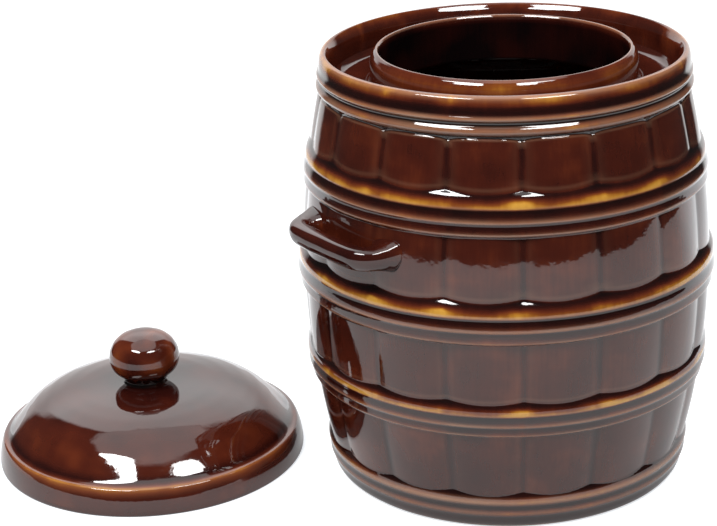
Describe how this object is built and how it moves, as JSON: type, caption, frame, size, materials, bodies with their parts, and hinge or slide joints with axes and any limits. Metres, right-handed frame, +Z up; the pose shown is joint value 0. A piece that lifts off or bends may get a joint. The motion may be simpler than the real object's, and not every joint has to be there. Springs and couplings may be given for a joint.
{
  "type": "rumtopf pot",
  "caption": "Barrel-shaped stoneware pot with moulded staves and hoops, a water channel round its mouth, loop handles, and its domed lid with a ball knob beside it.",
  "frame": {"origin": "centre of the pot's foot, on the surface that the pot stands on", "axes": "+Z up along the barrel's axis, out of the mouth; the two handles lie along -X (near) and +X (far)"},
  "size_m": [0.4195, 0.3691, 0.2658],
  "materials": {
    "barrel_glaze": "dark red-brown gloss glaze over stoneware, amber where it thins on the crests, bare clay under the foot",
    "channel_glaze": "dark red-brown gloss glaze over stoneware",
    "collar_glaze": "dark red-brown gloss glaze over stoneware, amber below the rounded lip",
    "handle_glaze": "red-brown gloss glaze over stoneware",
    "lid_glaze": "red-brown gloss glaze over stoneware, amber on the ledge's crest",
    "knob_glaze": "red-brown gloss glaze over stoneware"
  },
  "bodies": {
    "pot": {"lower_barrel": "barrel_glaze", "upper_barrel": "barrel_glaze", "channel_shelf": "channel_glaze", "mouth_collar": "collar_glaze", "near_handle": "handle_glaze", "far_handle": "handle_glaze"},
    "lid": {"lid_dome": "lid_glaze", "lid_knob": "knob_glaze"}
  },
  "joints": [
    {"name": "lid_lift", "type": "slide", "parent": "pot", "child": "lid", "axis": [0, 0, 1], "range_m": [0, 0.3]}
  ]
}
